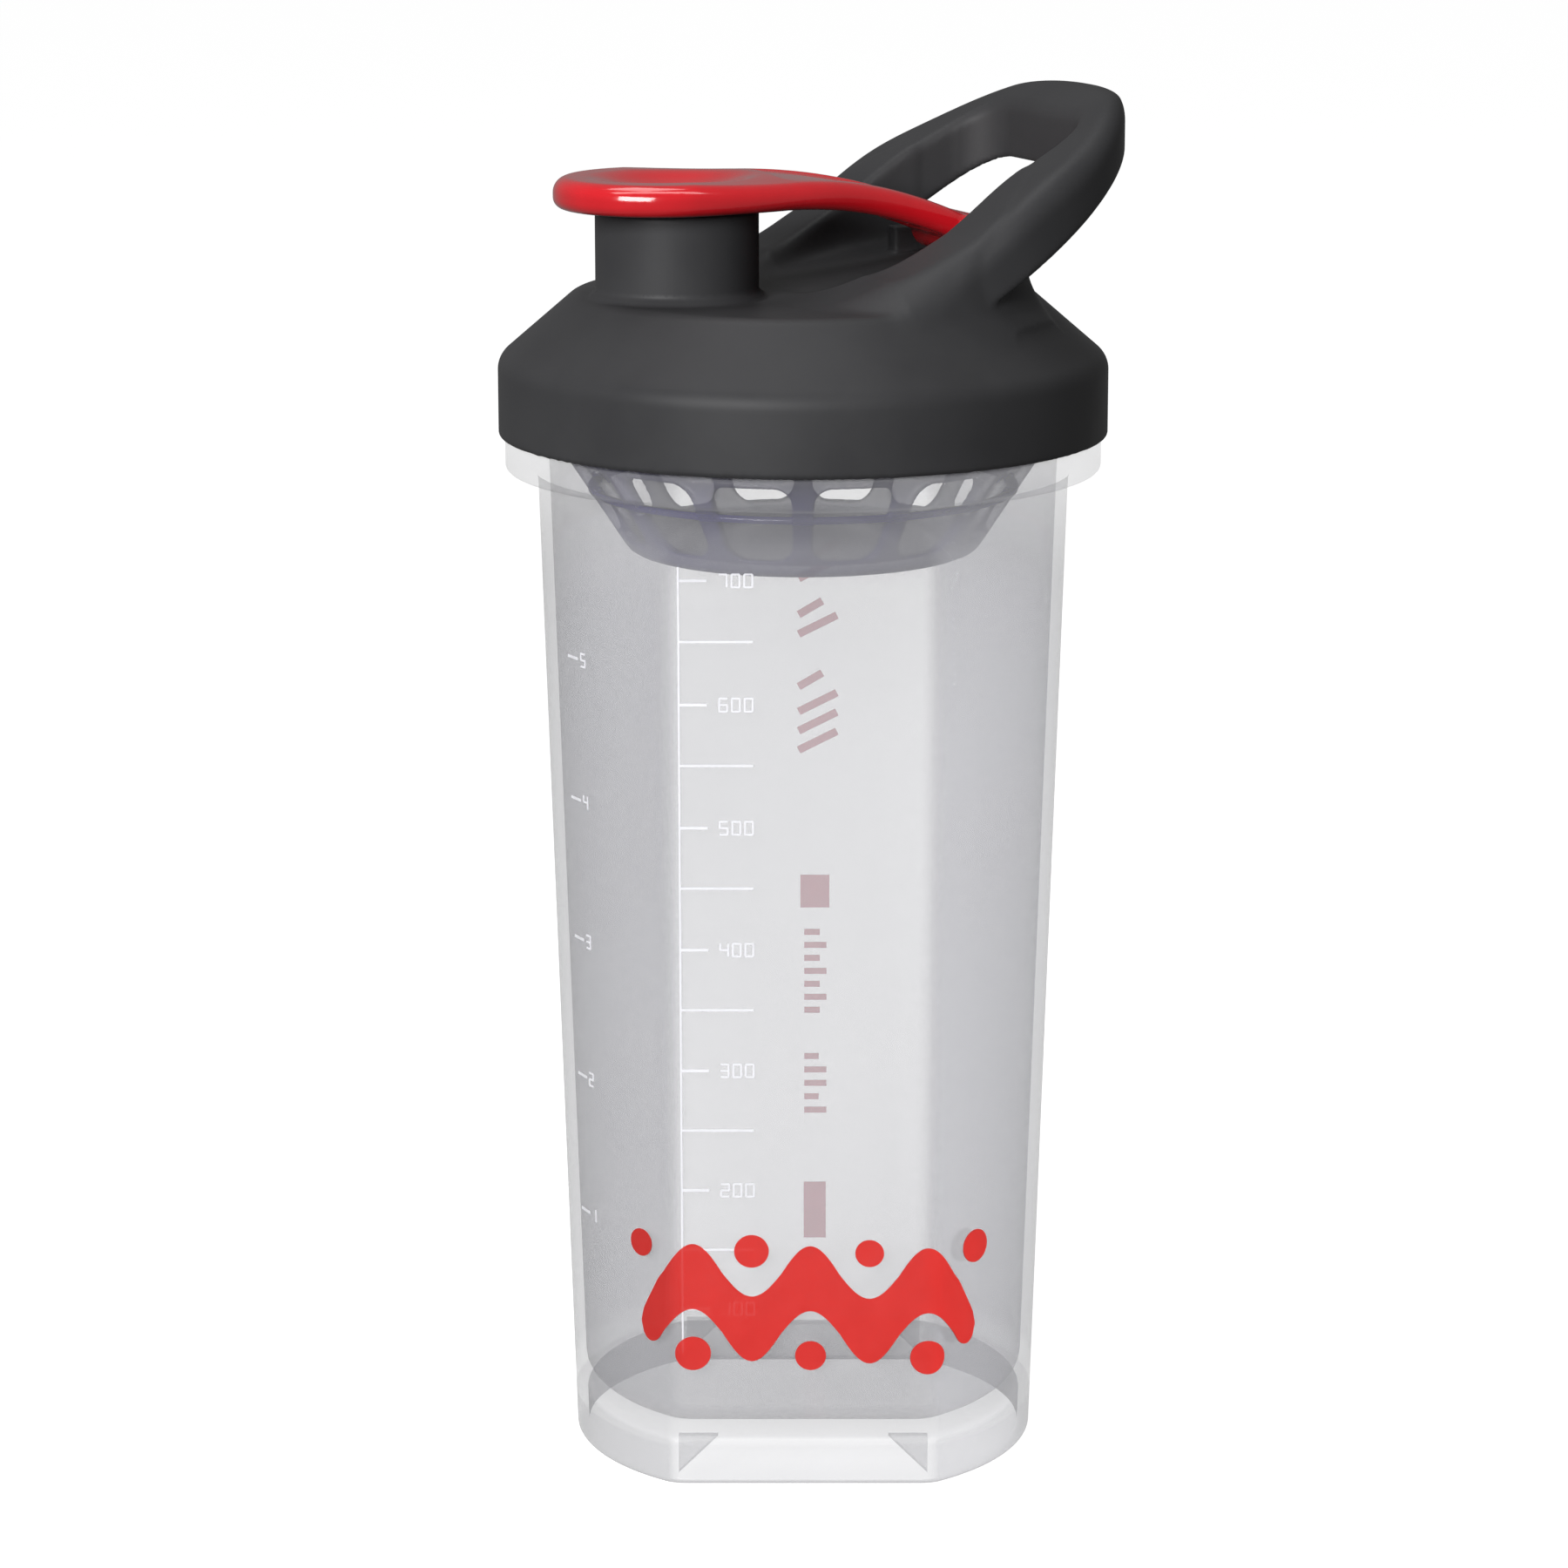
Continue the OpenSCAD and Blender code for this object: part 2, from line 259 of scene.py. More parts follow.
def arc(cx, cy, r, start, end, count):
    """Points along an arc, with its angles in degrees."""
    angles = np.radians(np.linspace(start, end, count))
    return [(cx + r * math.cos(a), cy + r * math.sin(a)) for a in angles]


# ---------------------------------------------------------------- materials
class Nodes:
    """A short way to build one material's nodes."""

    def __init__(self, name):
        self.material = bpy.data.materials.new(name)
        self.material.use_nodes = True
        self.tree = self.material.node_tree
        self.shader = self.tree.nodes["Principled BSDF"]
        self.place = self.add("ShaderNodeTexCoord").outputs["Object"]

    def add(self, kind, **settings):
        """A new node, with values for its inputs or its own settings."""
        node = self.tree.nodes.new(kind)
        for key, value in settings.items():
            if key in node.inputs:
                node.inputs[key].default_value = value
            else:
                setattr(node, key, value)
        return node

    def link(self, a, b):
        """Joins an output to an input."""
        self.tree.links.new(a, b)

    def noise(self, scale, detail, stretch=None):
        """A noise fixed to the piece, drawn out along an axis where stretch is small."""
        node = self.add("ShaderNodeTexNoise", Scale=scale, Detail=detail)
        place = self.place
        if stretch:
            mapping = self.add("ShaderNodeMapping")
            mapping.inputs["Scale"].default_value = stretch
            self.link(place, mapping.inputs["Vector"])
            place = mapping.outputs["Vector"]
        self.link(place, node.inputs["Vector"])
        return node.outputs["Fac"]

    def spread(self, value, low, high, to_low, to_high):
        """Takes a range of a value to another range."""
        node = self.add("ShaderNodeMapRange")
        for i, number in enumerate((low, high, to_low, to_high), start=1):
            node.inputs[i].default_value = number
        self.link(value, node.inputs["Value"])
        return node.outputs["Result"]

    def vary(self, noise, to_low, to_high):
        """Spreads the middle of a noise over a range."""
        return self.spread(noise, 0.3, 0.7, to_low, to_high)

    def times(self, a, b):
        """The product of two outputs."""
        node = self.add("ShaderNodeMath", operation="MULTIPLY")
        self.link(a, node.inputs[0])
        self.link(b, node.inputs[1])
        return node.outputs["Value"]

    def mix(self, factor, a, b):
        """A colour between two colours."""
        node = self.add("ShaderNodeMix", data_type="RGBA")
        self.link(factor, node.inputs["Factor"])
        node.inputs["A"].default_value = (*a, 1)
        node.inputs["B"].default_value = (*b, 1)
        return node.outputs["Result"]

    def bump(self, heights):
        """Chains bumps of (height, strength, distance in mm)."""
        normal = None
        for height, strength, distance in heights:
            node = self.add("ShaderNodeBump", Strength=strength, Distance=distance * MM)
            self.link(height, node.inputs["Height"])
            if normal:
                self.link(normal, node.inputs["Normal"])
            normal = node.outputs["Normal"]
        self.link(normal, self.shader.inputs["Normal"])

    def set(self, **values):
        """Sets inputs of the shader, with _ for a space in their names."""
        for key, value in values.items():
            self.shader.inputs[key.replace("_", " ")].default_value = value


def lid_plastic():
    """Charcoal moulded plastic with a fine satin texture."""
    m = Nodes("lid_black")
    m.set(Specular_IOR_Level=0.2)
    cloud = m.noise(60, 4)
    grain = m.noise(2600, 2)
    m.link(m.mix(m.vary(cloud, 0, 1), (0.034, 0.034, 0.036), (0.042, 0.042, 0.044)),
           m.shader.inputs["Base Color"])
    m.link(m.vary(cloud, 0.46, 0.56), m.shader.inputs["Roughness"])
    m.bump([(grain, 0.12, 0.04), (cloud, 0.05, 0.2)])
    return m.material


def cap_plastic():
    """Glossy red moulded plastic."""
    m = Nodes("cap_red")
    m.set(Specular_IOR_Level=0.5, Coat_Weight=0.6, Coat_Roughness=0.06)
    cloud = m.noise(90, 3)
    fine = m.noise(900, 2)
    m.link(m.mix(m.vary(cloud, 0, 1), (0.46, 0.006, 0.011), (0.52, 0.008, 0.014)),
           m.shader.inputs["Base Color"])
    m.link(m.vary(fine, 0.12, 0.18), m.shader.inputs["Roughness"])
    m.bump([(cloud, 0.06, 0.25), (fine, 0.03, 0.05)])
    return m.material


def see_through(name, colour, head_on, edge_on, turn_high, roughness, zones):
    """Clear plastic: it shows more of its own colour where the wall is seen at a slant.

    Each zone is (low, high, share at low, share at high) in height, and makes the plastic denser or fainter
    in that band."""
    m = Nodes(name)
    m.set(Base_Color=(*colour, 1), Specular_IOR_Level=0.5)
    facing = m.add("ShaderNodeLayerWeight", Blend=0.5).outputs["Facing"]
    haze = m.noise(45, 3, (1, 1, 0.15))
    lines = m.noise(500, 2, (1, 1, 0.02))
    height = m.add("ShaderNodeSeparateXYZ")
    m.link(m.place, height.inputs[0])
    density = m.vary(haze, 0.96, 1.04)
    for zone in zones:
        density = m.times(density, m.spread(height.outputs["Z"], *zone))
    total = m.times(m.spread(facing, 0.03, turn_high, head_on, edge_on), density)
    m.link(total, m.shader.inputs["Alpha"])
    m.link(m.vary(haze, roughness, roughness + 0.06), m.shader.inputs["Roughness"])
    m.bump([(lines, 0.03, 0.02)])
    return m.material


def print_ink(name, colour, spread, roughness, sheer_and_glow):
    """Screen print on the plastic. A see-through ink lets some of the wall show through. It also glows: its
    emission is painted light, as if it were lit through the bottle.
    """
    m = Nodes(name)
    cloud = m.noise(260, 4)
    darker = tuple(c * (1 - spread) for c in colour)
    m.link(m.mix(m.vary(cloud, 0, 1), darker, colour), m.shader.inputs["Base Color"])
    m.link(m.vary(cloud, roughness, roughness + 0.1), m.shader.inputs["Roughness"])
    m.bump([(m.noise(1800, 2), 0.08, 0.03)])
    # painted light: the emission makes the ink glow a little, though it is no lamp
    m.set(Alpha=1 - sheer_and_glow, Emission_Color=(*colour, 1), Emission_Strength=sheer_and_glow / 2)
    return m.material


def rubber():
    """Soft pale seal rubber."""
    m = Nodes("seal_rubber")
    cloud = m.noise(120, 3)
    m.link(m.mix(m.vary(cloud, 0, 1), (0.52, 0.52, 0.54), (0.6, 0.6, 0.62)),
           m.shader.inputs["Base Color"])
    m.link(m.vary(cloud, 0.55, 0.7), m.shader.inputs["Roughness"])
    m.bump([(m.noise(1500, 2), 0.15, 0.05)])
    return m.material


def steel():
    """Brushed steel, lined along the pin."""
    m = Nodes("pin_steel")
    m.set(Metallic=1.0)
    lines = m.noise(900, 3, (1, 0.05, 1))
    m.link(m.mix(m.vary(lines, 0, 1), (0.5, 0.5, 0.51), (0.66, 0.66, 0.67)),
           m.shader.inputs["Base Color"])
    m.link(m.vary(lines, 0.25, 0.4), m.shader.inputs["Roughness"])
    m.bump([(lines, 0.1, 0.03)])
    return m.material


def floor_paint():
    """Plain pale studio floor."""
    m = Nodes("floor")
    m.set(Roughness=0.9, Specular_IOR_Level=0.0, Emission_Color=(1, 1, 1, 1), Emission_Strength=0.96)
    cloud = m.noise(3, 2)
    m.link(m.mix(m.vary(cloud, 0, 1), (0.44, 0.44, 0.44), (0.46, 0.46, 0.46)),
           m.shader.inputs["Base Color"])
    return m.material


MATERIALS = {
    "lid": lid_plastic(),
    "cap": cap_plastic(),
    # bottle bands: denser below the floor, fainter along the floor as a painted highlight line, and fainter
    # up the shoulder
    "clear": see_through("bottle_clear", (0.46, 0.46, 0.485), 0.19, 0.395, 0.2, 0.08,
                         [(0.0068, 0.0074, 1.3, 1), (0.0105, 0.0135, 0.8, 1), (0.152, 0.172, 1, 0.5)]),
    "smoke": see_through("basket_smoke", (0.045, 0.036, 0.19), 0.45, 0.72, 0.7, 0.14,
                         [(0.1576, 0.1586, 1.1, 1), (0.1660, 0.1664, 1, 1.5), (0.1676, 0.168, 1, 0.667)]),
    "rubber": rubber(),
    "steel": steel(),
    # the last number sets how see-through each ink is and how much painted glow it gives
    "red_ink": print_ink("red_ink", (0.58, 0.026, 0.022), 0.06, 0.4, 0.12),
    "pale_ink": print_ink("pale_red_ink", (0.9, 0.30, 0.34), 0.08, 0.35, 0.5),
    "white_ink": print_ink("white_ink", (0.88, 0.88, 0.92), 0.04, 0.4, 0.4),
}


# ---------------------------------------------------------------- lid
def loop_outer(x, y):
    """Distance from the carry loop's outer outline, a squarish oval seen from above."""
    across = np.abs(x - LOOP_CENTRE) / (LOOP_REACH - LOOP_CENTRE)
    along = np.abs(y) / LOOP_HALF
    return ((across**OVAL_POWER + along**OVAL_POWER) ** (1 / OVAL_POWER) - 1) * LOOP_HALF


def loop_inner(x, y):
    """Distance from the outline of the gap between the loop's arms."""
    side = np.abs(y) - HOLE_HALF - 0.12 * np.clip(38 - x, 0, 18)
    apex = x - HOLE_REACH
    root = np.hypot(np.minimum(x - 15, 0), y) - 24
    return smooth_max(round_max(side, apex, 8), root, 4)


def lid_shell_field(r, z):
    """The lid's turned shell, solid, with softly rounded corners."""
    soft = 4.0
    low, top = SKIRT_BOTTOM - 20, DOME_TOP + 0.3 - soft
    profile = [
        (0, low), (LID_RADIUS - soft, low), (LID_RADIUS - soft, SKIRT_TOP), (DOME_RADIUS, top), (0, top),
    ]
    return round_max(polygon_field(r, z, profile) - soft, SKIRT_BOTTOM - z, 0.6)


def lid_cavity_field(r, z):
    """The hollow inside the lid."""
    steps = [
        (0, SKIRT_BOTTOM - 5), (SKIRT_INNER, SKIRT_BOTTOM - 5), (SKIRT_INNER, 188.9),
        (46.1, 188.9), (46.1, 191.8), (40.4, 191.8), (40.4, 193.9), (37, DOME_CEILING), (0, DOME_CEILING),
    ]
    return polygon_field(r, z, steps)


def lid_field(x, y, z):
    """The lid with its spout, deck and carry loop as one smooth solid."""
    r = np.hypot(x, y)
    lean = math.cos(math.atan(LOOP_SLOPE))
    arch = 1.2 * np.exp(-(((x - 27) / 9) ** 2))
    rise = LOOP_LEVEL + LOOP_SLOPE * x
    top = smooth_min((z - rise - arch) * lean, z - ROOT_LEVEL, 7)
    outer = loop_outer(x, y)
    inner = loop_inner(x, y)
    # the loop's band, with its underside falling a little towards the outside
    band = round_max(round_max(outer, top, 4.5), z - LOOP_TOP, 2)
    under = (rise - BAND_DEPTH - 0.08 * np.clip(inner, 0, 15) - z) * lean
    loop = round_max(round_max(band, -inner, 1.6), under, 1.0)
    loop = np.maximum(loop, LOOP_FOOT - z)
    # the root between the dome and the arms
    neck = r - np.interp(z, [196, 199, 204, 240], [43.5, 40.6, 38.9, 38.9])
    root = smooth_max(smooth_max(band, neck, 1.5), x - ROOT_END, 2)
    root = np.maximum(root, LOOP_FOOT - z)
    solid = smooth_min(root, lid_shell_field(r, z), np.interp(x, [-13, 0, 22], [1.5, 8.0, 4.0]))
    # the deck between the arms
    deck = z - DECK_LEVEL - DECK_SLOPE * np.maximum(x + 4, 0)
    solid = smooth_max(solid, -smooth_max(inner, -deck, 5), 1.5)
    solid = smooth_min(solid, loop, np.interp(x, [-10, 2, 16], [0.5, 7.0, 1.0]))
    # spout with the small bead at its base
    s = np.hypot(x - SPOUT_X, y)
    spout = round_max(round_max(s - SPOUT_RADIUS, z - SPOUT_TOP, 0.7), SPOUT_FOOT - z, 0.1)
    bead = np.hypot(s - SPOUT_RADIUS + 0.1, z - BEAD_Z) - 1.0
    solid = smooth_min(solid, smooth_min(spout, bead, 0.5), 0.8)
    # lugs for the hinge pin
    lug_side = np.abs(np.abs(y) - LUG_Y) - LUG_HALF
    lug = np.hypot(x - HINGE_X, z - HINGE_Z) - KNUCKLE_RADIUS + 0.2
    foot = np.maximum(np.abs(x - HINGE_X + 1.5) - 4.8, np.maximum(z - HINGE_Z, 200 - z))
    lug = round_max(smooth_min(lug, foot, 1), lug_side, 0.6)
    solid = smooth_min(solid, lug, 0.6)
    # hollows
    solid = round_max(solid, -lid_cavity_field(r, z), 0.4)
    bore = np.maximum(s - SPOUT_BORE, DOME_CEILING - 3 - z)
    solid = round_max(solid, -bore, 0.7)
    pin = np.hypot(x - HINGE_X, z - HINGE_Z) - PIN_RADIUS - 0.05
    pin = np.maximum(pin, np.abs(y) - 14)
    return np.maximum(solid, -pin)


def make_lid():
    """Meshes the lid's field."""
    step = 0.6
    points, quads = field_points(lid_field, LID_LOW, LID_HIGH, step)
    piece = new_piece("lid", points, quads, "lid", MATERIALS["lid"])
    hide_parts("lid_shell")


# ---------------------------------------------------------------- flip cap
def cap_top(x):
    """Height of the cap's top along its length."""
    run = np.clip(x - BEND_X, 0, BEND_RADIUS * 0.8)
    return CAP_TOP - BEND_RADIUS + np.sqrt(BEND_RADIUS**2 - run**2)


def cap_field(x, y, z):
    """The flip cap: a dished head and an arm with a channel underneath."""
    taper = np.clip((x - HEAD_X) / (HINGE_X - HEAD_X - 8), 0, 1)
    half = ARM_HALF + (HEAD_RADIUS - ARM_HALF) * (0.5 + 0.5 * np.cos(math.pi * taper))
    head = np.hypot(x - HEAD_X, y) - HEAD_RADIUS
    plan = np.where(x < HEAD_X, head, np.maximum(np.abs(y) - half, x - HINGE_X))
    top = cap_top(x)
    lean = 1 / np.sqrt(1 + (np.clip(x - BEND_X, 0, 60) / 80) ** 2)
    along = np.clip((x - HEAD_X) / 18, 0, 1)
    crown = 0.7 * (np.abs(y) / 12) ** 2 * along
    upper = (z - top + crown) * lean
    lower = (top - CAP_THICK - z) * lean
    solid = round_max(round_max(plan, upper, 2.6), lower, 1.8)
    # dish in the head
    reach = np.hypot((x - HEAD_X - 2.5) * 0.85, y * 1.1)
    bowl = np.hypot(reach, z - CAP_TOP - DISH_RISE) - DISH_RADIUS
    solid = smooth_max(solid, -bowl, 0.9)
    # shallow groove along the arm's top
    groove = smooth_max(np.abs(y) - half + 4.2, np.abs(x - 10) - 17, 4)
    groove = smooth_max(groove, (top - 0.7 - z) * lean, 0.9)
    solid = smooth_max(solid, -groove, 0.8)
    # channel under the arm
    channel = np.maximum(np.abs(y) - half + 2.0, np.abs(x - 7) - 16)
    channel = smooth_max(channel, (z - top + 2.3) * lean, 1.2)
    solid = smooth_max(solid, -channel, 0.5)
    # knuckle round the pin
    ring = np.hypot(x - HINGE_X, z - HINGE_Z)
    knuckle = round_max(ring - KNUCKLE_RADIUS, np.abs(y) - KNUCKLE_HALF, 0.5)
    solid = smooth_min(solid, knuckle, 1.0)
    solid = np.maximum(solid, np.abs(y) - KNUCKLE_HALF - np.where(x > HINGE_X - 5, 0, 20))
    return np.maximum(solid, PIN_RADIUS + 0.1 - ring)


def make_cap():
    """Meshes the flip cap's field."""
    step = 0.4
    points, quads = field_points(cap_field, CAP_LOW, CAP_HIGH, step)
    piece = new_piece("flip_cap_shell", points, quads, "cap", MATERIALS["cap"])
    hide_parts("flip_cap")


def turned(name, outline, centre_x, body, material):
    """A closed turned piece from its half outline of (radius, height)."""
    columns = 96
    angles = np.linspace(0, 2 * math.pi, columns, endpoint=False)
    rings = [
        np.stack([centre_x + r * np.cos(angles), r * np.sin(angles), np.full(columns, z)], axis=1)
        for r, z in outline
    ]
    points = np.concatenate(rings + [[(centre_x, 0, outline[0][1]), (centre_x, 0, outline[-1][1])]])
    return new_piece(name, points, ring_faces(len(outline), columns), body, material)


def make_plug():
    """The soft plug: a tapered cup with ribs that seal in the spout."""
    top, low = PLUG_HIGH[2], PLUG_LOW[2]
    wide, narrow = SPOUT_BORE - 0.32, SPOUT_BORE - 1.2
    ceiling, inner = low + 2.8, narrow - 1.9
    outline = [(0.01, ceiling), (inner - 0.3, ceiling), (inner, ceiling - 0.3), (inner, low + 0.4)]
    outline += arc(narrow - 0.95, low + 0.5, 0.9, 200, 340, 8)
    outline += [(narrow + 0.35, low + 1.8), (narrow + 0.75, low + 2.0), (narrow + 0.45, low + 2.3)]
    outline += [(wide - 0.35, top - 0.9), (wide, top - 0.5), (wide, top - 0.02)]
    outline += [(wide - 0.3, top), (0.01, top)]
    piece = turned("plug", outline, SPOUT_X, "cap", MATERIALS["rubber"])
    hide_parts("spout_plug")


# ---------------------------------------------------------------- bottle
def body_radius(angle, z, inset):
    """Radius of the bottle's section at an angle from the front flat."""
    flare = FOOT_RADIUS + BODY_FLARE * z - inset
    shoulder = np.maximum(z - SHOULDER_Z, 0) ** 2 / 28
    flat = FLAT_DISTANCE + FLAT_SLOPE * z + shoulder - inset
    reach = flat / np.maximum(np.abs(np.cos(angle)), 1e-3)
    return smooth_min(np.broadcast_to(flare, reach.shape), reach, FLAT_BEVEL)


def on_body(angle, radius, z):
    """Points in the frame, from an angle round from the front flat."""
    turn = FLAT_TURN - math.pi / 2 + angle
    return np.stack([radius * np.cos(turn), radius * np.sin(turn), np.broadcast_to(z, turn.shape)], axis=-1)


def bottle_path():
    """The bottle's half section, from the inside of the floor to its underside.

    Each stop is (inset or radius, height, share of the section, round or not)."""
    path = []
    corner = 4.0
    for share in (0.25, 0.5, 0.75, 0.9):
        path.append((WALL + corner, FLOOR_TOP, share, False))
    for a in np.radians(np.linspace(0, 90, 7)):
        path.append((WALL + corner * (1 - math.sin(a)), FLOOR_TOP + corner * (1 - math.cos(a)), 1, False))
    for z in np.linspace(24, SHOULDER_Z - 2, 10):
        path.append((WALL, z, 1, False))
    for z in np.linspace(SHOULDER_Z, FLANGE_BOTTOM - 1, 8):
        path.append((WALL, z, 1, False))
    for z in (FLANGE_BOTTOM + 0.5, FLANGE_TOP, RIM_Z - 6, RIM_Z - 0.6):
        path.append((NECK_BORE, z, 1, True))
    for r, z in arc(NECK_BORE + 0.6, RIM_Z - 0.6, 0.6, 180, 90, 4)[1:]:
        path.append((r, z, 1, True))
    for r, z in arc(NECK_RADIUS - 0.6, RIM_Z - 0.6, 0.6, 90, 0, 4):
        path.append((r, z, 1, True))
    path.append((NECK_RADIUS, (RIM_Z + FLANGE_TOP) / 2, 1, True))
    edge = FLANGE_RADIUS - 0.7
    flange = arc(NECK_RADIUS + 0.8, FLANGE_TOP + 0.8, 0.8, 180, 270, 4)
    flange += arc(edge, FLANGE_TOP - 0.7, 0.7, 90, 0, 4) + arc(edge, FLANGE_BOTTOM + 0.7, 0.7, 0, -90, 4)
    flange += arc(NECK_RADIUS, FLANGE_BOTTOM - 1.2, 1.2, 90, 180, 4)[:-1]
    path += [(r, z, 1, True) for r, z in flange]
    for z in np.linspace(FLANGE_BOTTOM - 1.6, SHOULDER_Z - 0.5, 9):
        path.append((0, z, 1, False))
    for z in np.linspace(SHOULDER_Z - 3, 4, 14):
        path.append((0, z, 1, False))
    for a in np.radians(np.linspace(0, 90, 6)):
        path.append((1 - math.cos(a), 1 - math.sin(a), 1, False))
    path.append((WALL - 0.3, 0, 1, False))
    path.append((WALL, 0.4, 1, False))
    path.append((WALL, FLOOR_Z - 1.5, 1, False))
    for a in np.radians(np.linspace(20, 90, 4)):
        path.append((WALL + 1.5 * (1 - math.cos(a)), FLOOR_Z - 1.5 + 1.5 * math.sin(a), 1, False))
    for share in (0.8, 0.5, 0.25):
        path.append((WALL + 2, FLOOR_Z, share, False))
    return path


def make_bottle():
    """Sweeps the bottle's half section round its flattened outline."""
    columns = 360
    angles = np.linspace(0, 2 * math.pi, columns, endpoint=False)
    path = bottle_path()
    rings = []
    for value, z, share, is_round in path:
        radius = np.full(columns, value) if is_round else share * body_radius(angles, z, value)
        rings.append(on_body(angles, radius, z))
    points = np.concatenate(rings + [[(0, 0, FLOOR_TOP), (0, 0, FLOOR_Z)]])
    faces = [f[::-1] for f in ring_faces(len(path), columns)]
    piece = new_piece("bottle", points, faces, "bottle", MATERIALS["clear"])
    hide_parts("bottle_body")


def make_gussets():
    """Thin triangular plates between the floor and the flat parts of the skirt."""
    points, faces = [], []
    outer = FLAT_DISTANCE - WALL + 0.3
    low, high = GUSSET_LOW, FLOOR_Z + 0.2
    near, far = (0, 1, 2), (3, 4, 5)
    rims = [(near[(i + 1) % 3], near[i], far[i], far[(i + 1) % 3]) for i in range(3)]
    for front in (1, -1):
        for side in (1, -1):
            first = len(points)
            for depth in (outer, outer - GUSSET_THICK):
                for u, z in ((GUSSET_EDGE, low), (GUSSET_EDGE, high), (GUSSET_FOOT, high)):
                    angle = math.atan2(side * u, depth) + (0 if front > 0 else math.pi)
                    points.append(on_body(np.array(angle), np.array(math.hypot(u, depth)), z))
            for face in [near, far[::-1]] + rims:
                face = face if side < 0 else face[::-1]
                faces.append([first + i for i in face])
    piece = new_piece("gussets", points, faces, "bottle", MATERIALS["clear"], smooth=False)
    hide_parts("bottle_body")


def helix_ridge(root, crest, start_z, turns, first_angle):
    """A screw ridge as rings of points that shrink to nothing at both ends."""
    steps = int(72 * turns)
    rings = []
    for i in range(steps + 1):
        share = i / steps
        fade = max(min(1, share * turns * 9, (1 - share) * turns * 9), 0.02)
        angle = first_angle + share * turns * 2 * math.pi
        height = start_z + share * turns * THREAD_LEAD
        tip = root + (crest - root) * fade
        for r, dz in ((root, -1.0), (tip, -0.45), (tip, 0.45), (root, 1.0)):
            rings.append((r * math.cos(angle), r * math.sin(angle), height + dz * max(fade, 0.3)))
    return np.array(rings), steps + 1


def make_threads():
    """The bottle's outer thread and the lid's inner one, half a lead apart."""
    for name, wall, out, start_z, turns, body, slot, material, first_angle in (
        ("neck_thread", NECK_RADIUS, 1, NECK_THREAD_Z, 1.2, "bottle", "bottle_clear", "clear", 0.0),
        ("lid_thread", SKIRT_INNER, -1, LID_THREAD_Z, 1.0, "lid", "lid_black", "lid", 2.1),
    ):
        root, crest = wall - out * THREAD_ROOT, wall + out * THREAD_CREST
        points, rows = helix_ridge(root, crest, start_z, turns, first_angle)
        inward = out < 0
        faces = []
        for i in range(rows - 1):
            for j in range(4):
                k = (j + 1) % 4
                face = (4 * i + j, 4 * i + 4 + j, 4 * i + 4 + k, 4 * i + k)
                faces.append(face[::-1] if inward else face)
        ends = [(0, 1, 2, 3), tuple(4 * (rows - 1) + j for j in (3, 2, 1, 0))]
        faces += [e[::-1] for e in ends] if inward else ends
        piece = new_piece(name, points, faces, body, MATERIALS[material])
        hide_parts("bottle_body" if body == "bottle" else "lid_shell")


# ---------------------------------------------------------------- print and scale
def wall_points(across, z, lift, side):
    """Points on the wall: across from a flat's middle line (right as seen from the front)."""
    grid = np.linspace(-1.35, 1.35, 271)
    radius = body_radius(grid[None, :], z[:, None], 0)
    x, y = radius * np.sin(grid), radius * np.cos(grid)
    steps = np.hypot(np.diff(x, axis=1), np.diff(y, axis=1))
    run = np.concatenate([np.zeros((len(z), 1)), np.cumsum(steps, axis=1)], axis=1)
    run -= run[:, [len(grid) // 2]]
    angle = np.array([np.interp(a, row, grid) for a, row in zip(across * side, run)])
    radius = body_radius(angle, z, -lift)
    return on_body(angle + (0 if side > 0 else math.pi), radius, z)


def ribbon(line, half_widths):
    """A grid of (across, height) points round a middle line, with square ends."""
    line = np.asarray(line, float)
    tangent = np.gradient(line, axis=0)
    tangent /= np.linalg.norm(tangent, axis=1)[:, None]
    normal = np.stack([-tangent[:, 1], tangent[:, 0]], axis=1)
    spread = np.linspace(-1, 1, 3)
    half = np.broadcast_to(half_widths, len(line))
    return line[:, None] + normal[:, None] * spread[None, :, None] * half[:, None, None]


def straight(start, end, half, steps=2):
    """A straight ribbon from start to end."""
    share = np.linspace(0, 1, steps)[:, None]
    return ribbon((1 - share) * np.array(start) + share * np.array(end), half)


def disc(centre, radius):
    """A round patch as a grid squeezed onto a disc."""
    t = np.linspace(-1, 1, 15)
    u, v = np.meshgrid(t, t, indexing="ij")
    x, y = u * np.sqrt(1 - v * v / 2), v * np.sqrt(1 - u * u / 2)
    return np.stack([centre[0] + radius * x, centre[1] + radius * y], axis=-1)


def print_piece(name, patches, side, ink, lift=0.16):
    """Thin slabs of ink on the bottle's wall, one for each patch."""
    points, faces = [], []
    for patch in patches:
        rows, columns = patch.shape[:2]
        flat = patch.reshape(-1, 2)
        first = sum(len(p) for p in points)
        count = len(flat)
        points += [wall_points(flat[:, 0], flat[:, 1], h, side) for h in (lift, 0.02)]
        edge = [(i, 0) for i in range(rows)] + [(rows - 1, j) for j in range(1, columns)]
        edge += [(i, columns - 1) for i in range(rows - 2, -1, -1)]
        edge += [(0, j) for j in range(columns - 2, 0, -1)]
        edge = [i * columns + j for i, j in edge]
        slab = []
        for i in range(rows - 1):
            for j in range(columns - 1):
                a = i * columns + j
                quad = (a, a + columns, a + columns + 1, a + 1)
                slab += [quad, tuple(count + q for q in quad[::-1])]
        for a, b in zip(edge, edge[1:] + edge[:1]):
            slab.append((b, a, count + a, count + b))
        step = patch[1, 0] - patch[0, 0]
        turn = step[0] * (patch[0, 1] - patch[0, 0])[1] - step[1] * (patch[0, 1] - patch[0, 0])[0]
        flip = (turn * side) < 0
        faces += [[first + q for q in (f[::-1] if flip else f)] for f in slab]
    piece = new_piece(name, np.concatenate(points), faces, "bottle", MATERIALS[ink], smooth=False)
    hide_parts("bottle_body")


